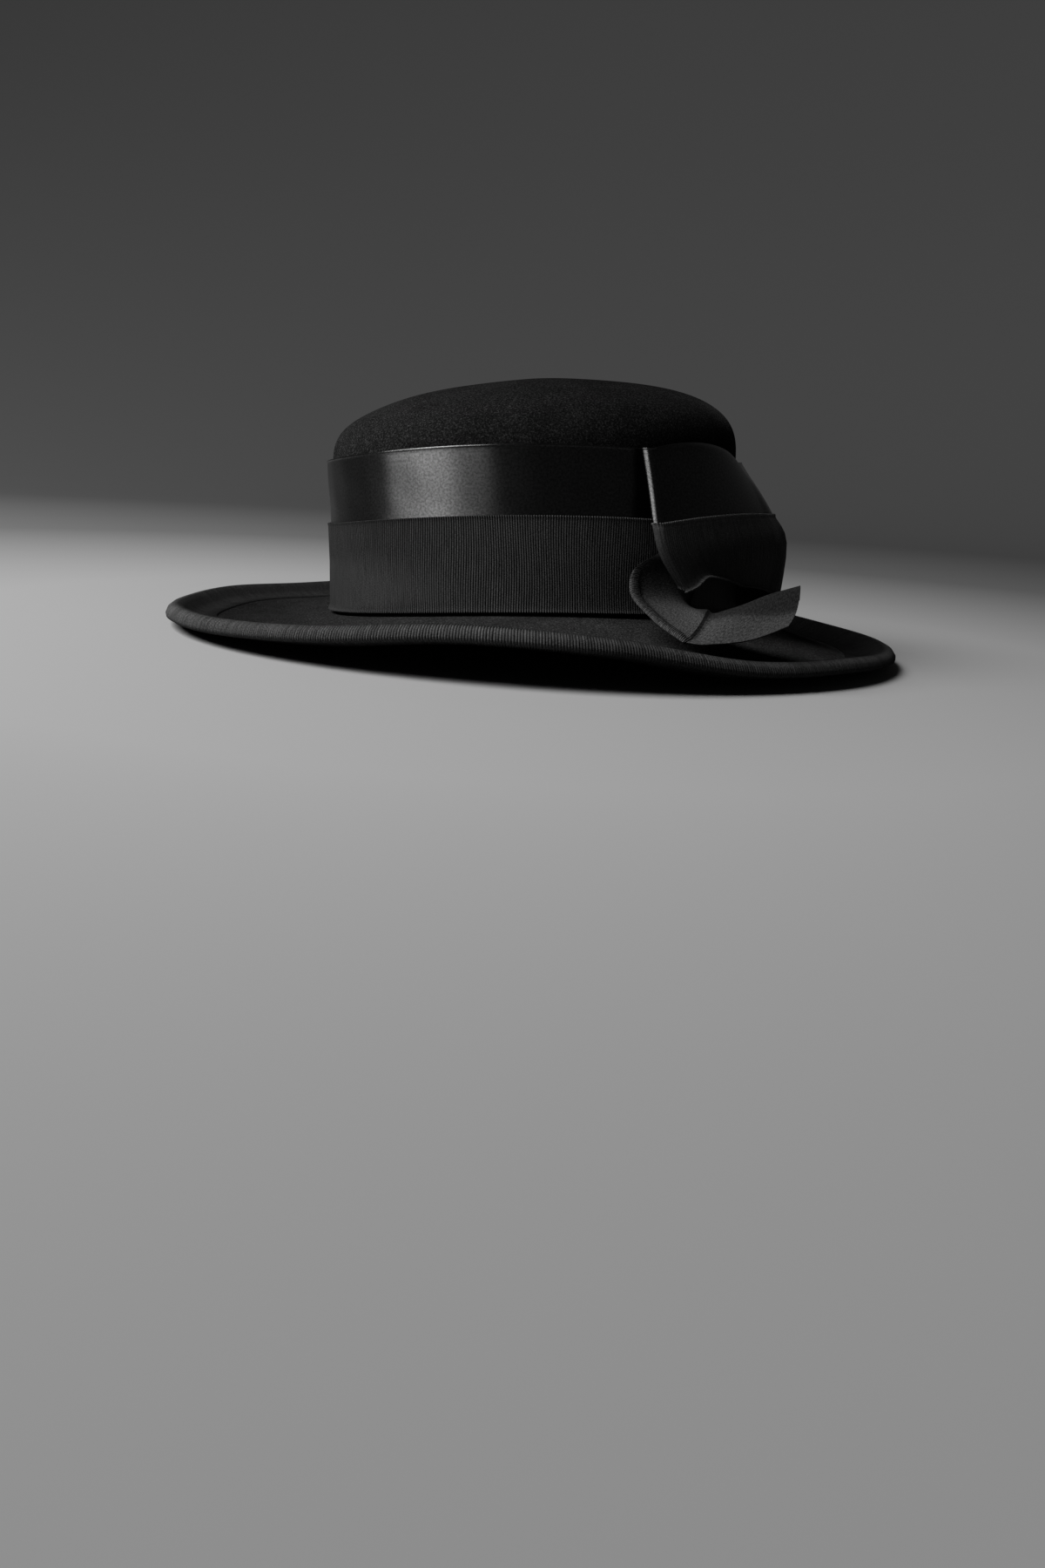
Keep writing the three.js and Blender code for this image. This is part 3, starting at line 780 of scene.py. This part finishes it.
def ramp(tree, value, *stops):
    """Colour ramp over a value: stops are (place, grey)."""
    node = add(tree, "ShaderNodeValToRGB")
    elements = node.color_ramp.elements
    while len(elements) < len(stops):
        elements.new(0.5)
    for element, (place, grey) in zip(elements, stops):
        element.position = place
        element.color = (grey, grey, grey, 1)
    tree.links.new(value, node.inputs["Fac"])
    return node.outputs["Color"]


def multiply(tree, a, b):
    """Product of two colours or values."""
    node = add(tree, "ShaderNodeMix", data_type="RGBA", blend_type="MULTIPLY")
    node.inputs["Factor"].default_value = 1.0
    tree.links.new(a, node.inputs["A"])
    tree.links.new(b, node.inputs["B"])
    return node.outputs["Result"]


def bump(tree, height, strength, distance, under=None, invert=False):
    """Bump from a height, over the normal of another bump if there is one."""
    node = add(tree, "ShaderNodeBump", invert=invert)
    node.inputs["Strength"].default_value = strength
    node.inputs["Distance"].default_value = distance
    tree.links.new(height, node.inputs["Height"])
    if under:
        tree.links.new(under, node.inputs["Normal"])
    return node.outputs["Normal"]


def axis(tree, vector, name):
    """One coordinate of a vector."""
    node = add(tree, "ShaderNodeSeparateXYZ")
    tree.links.new(vector, node.inputs["Vector"])
    return node.outputs[name]


def along_hat(tree, place):
    """Share from 0 at the front of the hat to 1 at its back."""
    share = add(tree, "ShaderNodeMapRange")
    share.inputs["From Min"].default_value = -RIM_HALF_LENGTH * METRES
    share.inputs["From Max"].default_value = RIM_HALF_LENGTH * METRES
    tree.links.new(axis(tree, place, "X"), share.inputs["Value"])
    return share.outputs["Result"]


# Stops of a ramp that leaves the colour as it is, and the felt's mean fuzz
EVEN = ((0.0, 1.0), (1.0, 1.0))
FUZZ_MEAN = 0.03


def felt_material(name, light, painted_shade_lengthways, painted_shade_upwards=EVEN):
    """Brushed wool felt: near black and matt, speckled by its fibres and mottled by its nap, whose fuzz shows
    where it is seen edge on. Painted shade: ramps from front to back and up the hat darken it where the
    photograph does."""
    material, tree, shader = new_material(name)
    place = add(tree, "ShaderNodeTexCoord").outputs["Object"]
    fibres = noise(tree, place, scale=1300, detail=3, roughness=0.75)
    nap = noise(tree, place, scale=60, detail=3)
    speckle = ramp(tree, fibres, (0.40, 0.1 * light), (0.55, 0.28 * light), (0.70, light))
    fuzz = ramp(tree, fibres, (0.40, 0.014), (0.55, FUZZ_MEAN), (0.72, 0.075))
    mottle = ramp(tree, nap, (0.3, 0.7), (0.7, 1.0))
    # Painted shade: ramps from the hat's front to its back and up the hat darken the felt's colour
    painted_shade_front_to_back = ramp(tree, along_hat(tree, place), *painted_shade_lengthways)
    painted_shade = multiply(tree, painted_shade_front_to_back, ramp(tree, axis(tree, place, "Z"), *painted_shade_upwards))
    shade = multiply(tree, mottle, painted_shade)
    tree.links.new(multiply(tree, speckle, shade), shader.inputs["Base Color"])
    shader.inputs["Sheen Tint"].default_value = (FUZZ_MEAN, FUZZ_MEAN, FUZZ_MEAN, 1)
    tree.links.new(multiply(tree, fuzz, shade), shader.inputs["Sheen Tint"])
    shader.inputs["Sheen Weight"].default_value = 1.0
    shader.inputs["Sheen Roughness"].default_value = 0.35
    shader.inputs["Roughness"].default_value = 0.95
    shader.inputs["Specular IOR Level"].default_value = 0.0
    tree.links.new(bump(tree, fibres, strength=0.5, distance=0.0003), shader.inputs["Normal"])
    return material


def stretched(tree, along, across):
    """The piece's UV map in metres, scaled differently along the ribbon and across it."""
    place = add(tree, "ShaderNodeUVMap", uv_map="UVMap").outputs["UV"]
    node = add(tree, "ShaderNodeMapping")
    node.inputs["Scale"].default_value = (along, across, 1)
    tree.links.new(place, node.inputs["Vector"])
    return node.outputs["Vector"]


FLOAT_LEAN = np.tan(np.radians(10))
SATIN_GLOSS = 0.4


def satin_material():
    """Satin ribbon: black, smooth, with fine threads along it that break up its gloss. Each float of the
    weave leans back a little, as a slope across the ribbon, so the gloss faces up."""
    material, tree, shader = new_material("satin")
    threads = noise(tree, stretched(tree, along=500, across=3500))
    cloth = noise(tree, stretched(tree, along=60, across=60))
    grain = noise(tree, stretched(tree, along=900, across=900), detail=3, roughness=0.7)
    across = axis(tree, stretched(tree, along=1, across=1), "Y")
    lean = bump(tree, across, strength=1.0, distance=FLOAT_LEAN, invert=True)
    tree.links.new(ramp(tree, threads, (0.3, 0.0004), (0.7, 0.0014)), shader.inputs["Base Color"])
    tree.links.new(ramp(tree, cloth, (0.3, 0.34), (0.7, 0.37)), shader.inputs["Roughness"])
    shader.inputs["Specular IOR Level"].default_value = SATIN_GLOSS
    tree.links.new(ramp(tree, grain, (0.38, 0.27), (0.62, 0.55)), shader.inputs["Specular IOR Level"])
    shader.inputs["Anisotropic"].default_value = 0.92
    shader.inputs["Anisotropic Rotation"].default_value = 0.25
    tangent = add(tree, "ShaderNodeTangent", direction_type="UV_MAP", uv_map="UVMap")
    tree.links.new(tangent.outputs["Tangent"], shader.inputs["Tangent"])
    woven = bump(tree, threads, strength=0.15, distance=0.0001, under=lean)
    tree.links.new(bump(tree, grain, strength=0.15, distance=0.00005, under=woven), shader.inputs["Normal"])
    return material


def grosgrain_material(name, light, gloss, dark, streak, painted_light_and_shade=EVEN, slant=0.0, painted_shade_lengthways=EVEN):
    """Grosgrain: matt black, with fine threads crossing its ribs and streaks along them, as some ribs are
    paler than others. Dark is the darkest streak's share of the light, and streak the number of changes to a
    metre of rib. Light and shade are painted into its colour by a ramp across the ribbon, which may slant
    along it, and by one from the front of the hat to its back."""
    material, tree, shader = new_material(name)
    threads = noise(tree, stretched(tree, along=700, across=3000), detail=3, roughness=0.6)
    streaks = noise(tree, stretched(tree, along=1000, across=streak), roughness=0.7)
    # Place across the ribbon, slanted along it, where the ramp of painted light and shade is read
    across = add(tree, "ShaderNodeVectorMath", operation="DOT_PRODUCT")
    across.inputs[1].default_value = (slant, 1, 0)
    tree.links.new(stretched(tree, along=1, across=1), across.inputs[0])
    ribs = ramp(tree, streaks, (0.36, dark * light), (0.66, light))
    weave = multiply(tree, ramp(tree, threads, (0.3, 0.2), (0.7, 1.0)), ribs)
    place = add(tree, "ShaderNodeTexCoord").outputs["Object"]
    # Painted light and shade: the ramp across the ribbon and the ramp from the hat's front to its back
    painted_shade_front_to_back = ramp(tree, along_hat(tree, place), *painted_shade_lengthways)
    shade = multiply(tree, ramp(tree, across.outputs["Value"], *painted_light_and_shade), painted_shade_front_to_back)
    tree.links.new(multiply(tree, weave, shade), shader.inputs["Base Color"])
    shader.inputs["Roughness"].default_value = 0.6
    shader.inputs["Specular IOR Level"].default_value = gloss
    threaded = bump(tree, threads, strength=0.3, distance=0.0002)
    streaked = bump(tree, streaks, strength=0.3, distance=0.0003, under=threaded)
    tree.links.new(streaked, shader.inputs["Normal"])
    return material


# Studio

FLOOR_RADIUS = 1.6
SWEEP_RADIUS = 0.9
SWEEP_TOP = 2.2
FLOOR_RINGS = 12
SWEEP_RINGS = 14
FLOOR_COLUMNS = 96


def make_floor():
    """Pale floor that sweeps up all round: a disc, a quarter circle and a wall, turned about the upright
    axis. It darkens away from the hat."""
    flat = np.linspace(0, FLOOR_RADIUS, FLOOR_RINGS)[:-1]
    turn = np.linspace(0, np.pi / 2, SWEEP_RINGS)
    radius = np.concatenate([flat, FLOOR_RADIUS + SWEEP_RADIUS * np.sin(turn), [FLOOR_RADIUS + SWEEP_RADIUS]])
    height = np.concatenate([0 * flat, SWEEP_RADIUS * (1 - np.cos(turn)), [SWEEP_TOP]])
    angle = np.linspace(0, 2 * np.pi, FLOOR_COLUMNS, endpoint=False)[:, None]
    grid = points(radius * np.cos(angle), radius * np.sin(angle), height)
    count, rows = grid.shape[:2]
    i, j = np.arange(count)[:, None], np.arange(rows - 1)[None, :]
    here, ahead = i * rows + j, (i + 1) % count * rows + j
    quads = points_of_quads(here, ahead, ahead + 1, here + 1)
    mesh = bpy.data.meshes.new("floor")
    mesh.from_pydata(grid.reshape(-1, 3), [], quads[:, ::-1])
    merge_doubles(mesh)
    mesh.shade_smooth()
    material, tree, shader = new_material("floor")
    place = add(tree, "ShaderNodeTexCoord").outputs["Object"]
    reach = add(tree, "ShaderNodeVectorMath", operation="LENGTH")
    tree.links.new(place, reach.inputs[0])
    tree.links.new(ramp(tree, reach.outputs["Value"], (0.3, 0.16), (0.75, 0.08)), shader.inputs["Base Color"])
    shader.inputs["Roughness"].default_value = 0.9
    shader.inputs["Specular IOR Level"].default_value = 0.1
    mesh.materials.append(material)
    floor = bpy.data.objects.new("floor", mesh)
    bpy.context.scene.collection.objects.link(floor)


def posed(axes, place):
    """World matrix of an object, from its axes as columns and its place."""
    matrix = np.eye(4)
    matrix[:3, :3] = axes
    matrix[:3, 3] = place
    return Matrix(matrix.tolist())


def make_light(name, azimuth, distance, height, size, power, aim):
    """A soft rectangular light, at an azimuth to the left of the camera's side and at a distance from the
    upright axis, aimed at a height on that axis."""
    turn = np.radians(azimuth)
    place = np.array([-np.sin(turn) * distance, -np.cos(turn) * distance, height])
    lamp = bpy.data.lights.new(name, "AREA")
    lamp.shape = "RECTANGLE"
    lamp.size, lamp.size_y = size
    lamp.energy = power
    light = bpy.data.objects.new(name, lamp)
    back = unit(place - np.array([0, 0, aim]))
    right = unit(np.cross((0, 0, 1), back))
    light.matrix_world = posed(np.stack([right, np.cross(back, right), back], 1), place)
    light.visible_camera = False
    bpy.context.scene.collection.objects.link(light)


# Camera: its place in upright millimetres, and the photograph's focal length and height in pixels
CAMERA_PLACE = np.array([-4.75, -600.0, 61.4])
CAMERA_PITCH = np.radians(14.8)
FOCAL_PIXELS = 1341
FRAME_PIXELS = 1800
SENSOR = 36.0
NEAREST = 0.01


def make_camera():
    """Camera at the photograph's angle to the hat: level with the satin, pitched down and leaning with it."""
    cos, sin = np.cos(REST_LEAN), np.sin(REST_LEAN)
    lean = np.array([[cos, 0, -sin], [0, 1, 0], [sin, 0, cos]])
    right = np.array([1.0, 0, 0])
    up = np.array([0, np.sin(CAMERA_PITCH), np.cos(CAMERA_PITCH)])
    axes = lean @ np.stack([right, up, np.cross(right, up)], 1)
    place = (lean @ CAMERA_PLACE + REST_SHIFT) * METRES
    data = bpy.data.cameras.new("camera")
    data.sensor_width = SENSOR
    data.lens = SENSOR * FOCAL_PIXELS / FRAME_PIXELS
    data.clip_start = NEAREST
    camera = bpy.data.objects.new("camera", data)
    camera.matrix_world = posed(axes, place)
    bpy.context.scene.collection.objects.link(camera)
    bpy.context.scene.camera = camera


def make_world(strength):
    """Dim even light from all round."""
    world = bpy.data.worlds.new("world")
    world.use_nodes = True
    background = world.node_tree.nodes["Background"]
    background.inputs["Color"].default_value = (1, 1, 1, 1)
    background.inputs["Strength"].default_value = strength
    bpy.context.scene.world = world


# Painted light and shade of each material, as stops of (place, share of the light): along the hat from 0 at
# its front to 1 at its back, up the hat in metres, and across a ribbon in metres along its section from its
# first column
# Painted shade on the crown: darker towards the back of the hat and towards its top
CROWN_PAINTED_SHADE_LENGTHWAYS = ((0.333, 1.0), (0.528, 0.65), (0.694, 0.5))
CROWN_PAINTED_SHADE_UPWARDS = ((0.08, 0.95), (0.125, 0.6))
# Painted shade on the brim: darker at the front end of the hat
BRIM_PAINTED_SHADE_LENGTHWAYS = ((0.06, 0.35), (0.25, 1.0))
# Painted shade on the binding: its inner face darker than the roll over the brim's edge, and its back half
# darker
BINDING_PAINTED_SHADE_ACROSS = ((0.0198, 0.24), (0.0228, 1.0))
BINDING_PAINTED_SHADE_LENGTHWAYS = ((0.45, 1.0), (0.6, 0.45))
# Painted shade on the band: darker at the front of the hat
BAND_PAINTED_SHADE_LENGTHWAYS = ((0.2, 0.46), (0.45, 1.0))
# Painted highlights along the loop's seam and lip, and painted shade over its face between them
LOOP_PAINTED_LIGHT_AND_SHADE = ((0.0006, 1.0), (0.0012, 0.4), (0.0355, 0.4), (0.0368, 1.0))
# Painted shadow of the loop along the tail's upper strip, and painted shade towards the back of the hat
TAIL_PAINTED_SHADOW = ((0.053, 1.0), (0.059, 0.3))
TAIL_PAINTED_SHADE_LENGTHWAYS = ((0.66, 1.0), (0.73, 0.78))

# Crown and brim are copies of one felt, and binding, band, loop and tail copies of one grosgrain: their
# different lights are painted light and shade
crown_felt = felt_material("crown felt", light=0.037, painted_shade_lengthways=CROWN_PAINTED_SHADE_LENGTHWAYS, painted_shade_upwards=CROWN_PAINTED_SHADE_UPWARDS)
brim_felt = felt_material("brim felt", light=0.042, painted_shade_lengthways=BRIM_PAINTED_SHADE_LENGTHWAYS)
satin = satin_material()
binding = grosgrain_material(
    "binding", light=0.076, gloss=0.0, dark=0.5, streak=70, painted_light_and_shade=BINDING_PAINTED_SHADE_ACROSS,
    painted_shade_lengthways=BINDING_PAINTED_SHADE_LENGTHWAYS,
)
band = grosgrain_material("band", light=0.058, gloss=0.06, dark=0.6, streak=70, painted_shade_lengthways=BAND_PAINTED_SHADE_LENGTHWAYS)
loop = grosgrain_material("loop", light=0.09, gloss=0.04, dark=0.6, streak=70, painted_light_and_shade=LOOP_PAINTED_LIGHT_AND_SHADE)
tail = grosgrain_material(
    "tail", light=0.064, gloss=0.06, dark=0.3, streak=500, painted_light_and_shade=TAIL_PAINTED_SHADOW, slant=0.32,
    painted_shade_lengthways=TAIL_PAINTED_SHADE_LENGTHWAYS,
)

make_crown(crown_felt)
make_brim(brim_felt)
make_binding(binding)
make_satin_band(satin)
make_grosgrain_band(band)
make_satin_loop(satin)
make_grosgrain_loop(loop)
make_tail(tail)
make_floor()
make_camera()
make_light("key", azimuth=72, distance=1.2, height=1.37, size=(1.1, 1.1), power=102, aim=0.08)
make_world(strength=0.02)
bpy.context.scene.view_settings.view_transform = "Standard"
